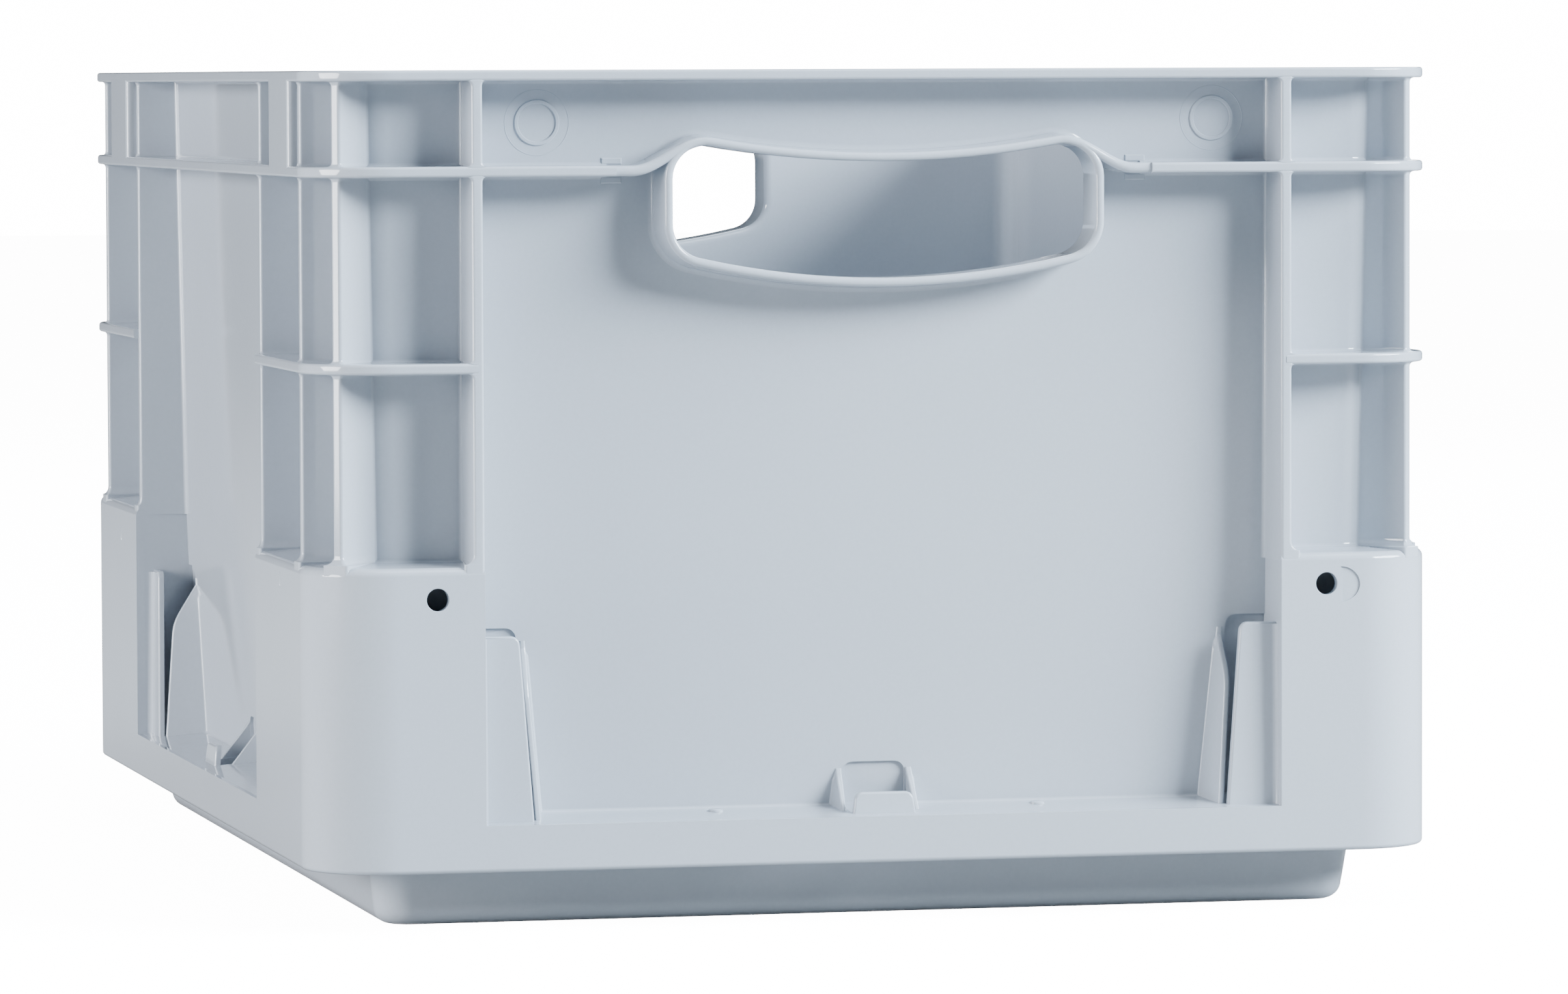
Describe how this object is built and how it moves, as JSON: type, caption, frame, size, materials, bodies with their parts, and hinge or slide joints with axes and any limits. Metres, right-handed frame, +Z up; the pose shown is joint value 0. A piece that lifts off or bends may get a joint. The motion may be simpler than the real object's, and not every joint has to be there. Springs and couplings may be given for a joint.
{
  "type": "stacking plastic crate",
  "caption": "Open-topped stacking crate with ribbed corners, a hand grip through each end wall, a low skirt, label clips and a recessed foot that drops into the rim of the crate below.",
  "frame": {"origin": "centre of the crate's outline, at the height of the foot's underside", "axes": "+Z up out of the open top; +Y along the length from the front end wall to the rear one; +X to the right seen from the front"},
  "size_m": [0.3, 0.4, 0.22],
  "materials": {
    "crate_plastic": "satin injection-moulded polypropylene, pale blue-grey"
  },
  "bodies": {
    "root": {"floor_tray": "crate_plastic", "front_band": "crate_plastic", "front_centre_clip": "crate_plastic", "front_end_wall": "crate_plastic", "front_grip_collar": "crate_plastic", "front_left_corner_block": "crate_plastic", "front_left_corner_side_rib": "crate_plastic", "front_left_corner_wall": "crate_plastic", "front_left_diagonal_rib": "crate_plastic", "front_left_end_label_clip": "crate_plastic", "front_left_end_rib": "crate_plastic", "front_left_lower_shelf": "crate_plastic", "front_left_recess_side_rib": "crate_plastic", "front_left_side_label_clip": "crate_plastic", "front_left_top_row_plate": "crate_plastic", "front_right_corner_block": "crate_plastic", "front_right_corner_side_rib": "crate_plastic", "front_right_corner_wall": "crate_plastic", "front_right_diagonal_rib": "crate_plastic", "front_right_end_label_clip": "crate_plastic", "front_right_end_rib": "crate_plastic", "front_right_lower_shelf": "crate_plastic", "front_right_recess_side_rib": "crate_plastic", "front_right_side_label_clip": "crate_plastic", "front_right_top_row_plate": "crate_plastic", "left_band": "crate_plastic", "left_centre_clip": "crate_plastic", "left_long_wall": "crate_plastic", "left_upper_shelf": "crate_plastic", "rear_band": "crate_plastic", "rear_centre_clip": "crate_plastic", "rear_end_wall": "crate_plastic", "rear_grip_collar": "crate_plastic", "rear_left_corner_block": "crate_plastic", "rear_left_corner_side_rib": "crate_plastic", "rear_left_corner_wall": "crate_plastic", "rear_left_diagonal_rib": "crate_plastic", "rear_left_end_label_clip": "crate_plastic", "rear_left_end_rib": "crate_plastic", "rear_left_lower_shelf": "crate_plastic", "rear_left_recess_side_rib": "crate_plastic", "rear_left_side_label_clip": "crate_plastic", "rear_left_top_row_plate": "crate_plastic", "rear_right_corner_block": "crate_plastic", "rear_right_corner_side_rib": "crate_plastic", "rear_right_corner_wall": "crate_plastic", "rear_right_diagonal_rib": "crate_plastic", "rear_right_end_label_clip": "crate_plastic", "rear_right_end_rib": "crate_plastic", "rear_right_lower_shelf": "crate_plastic", "rear_right_recess_side_rib": "crate_plastic", "rear_right_side_label_clip": "crate_plastic", "rear_right_top_row_plate": "crate_plastic", "right_band": "crate_plastic", "right_centre_clip": "crate_plastic", "right_long_wall": "crate_plastic", "right_upper_shelf": "crate_plastic", "top_rim": "crate_plastic"}
  },
  "joints": []
}
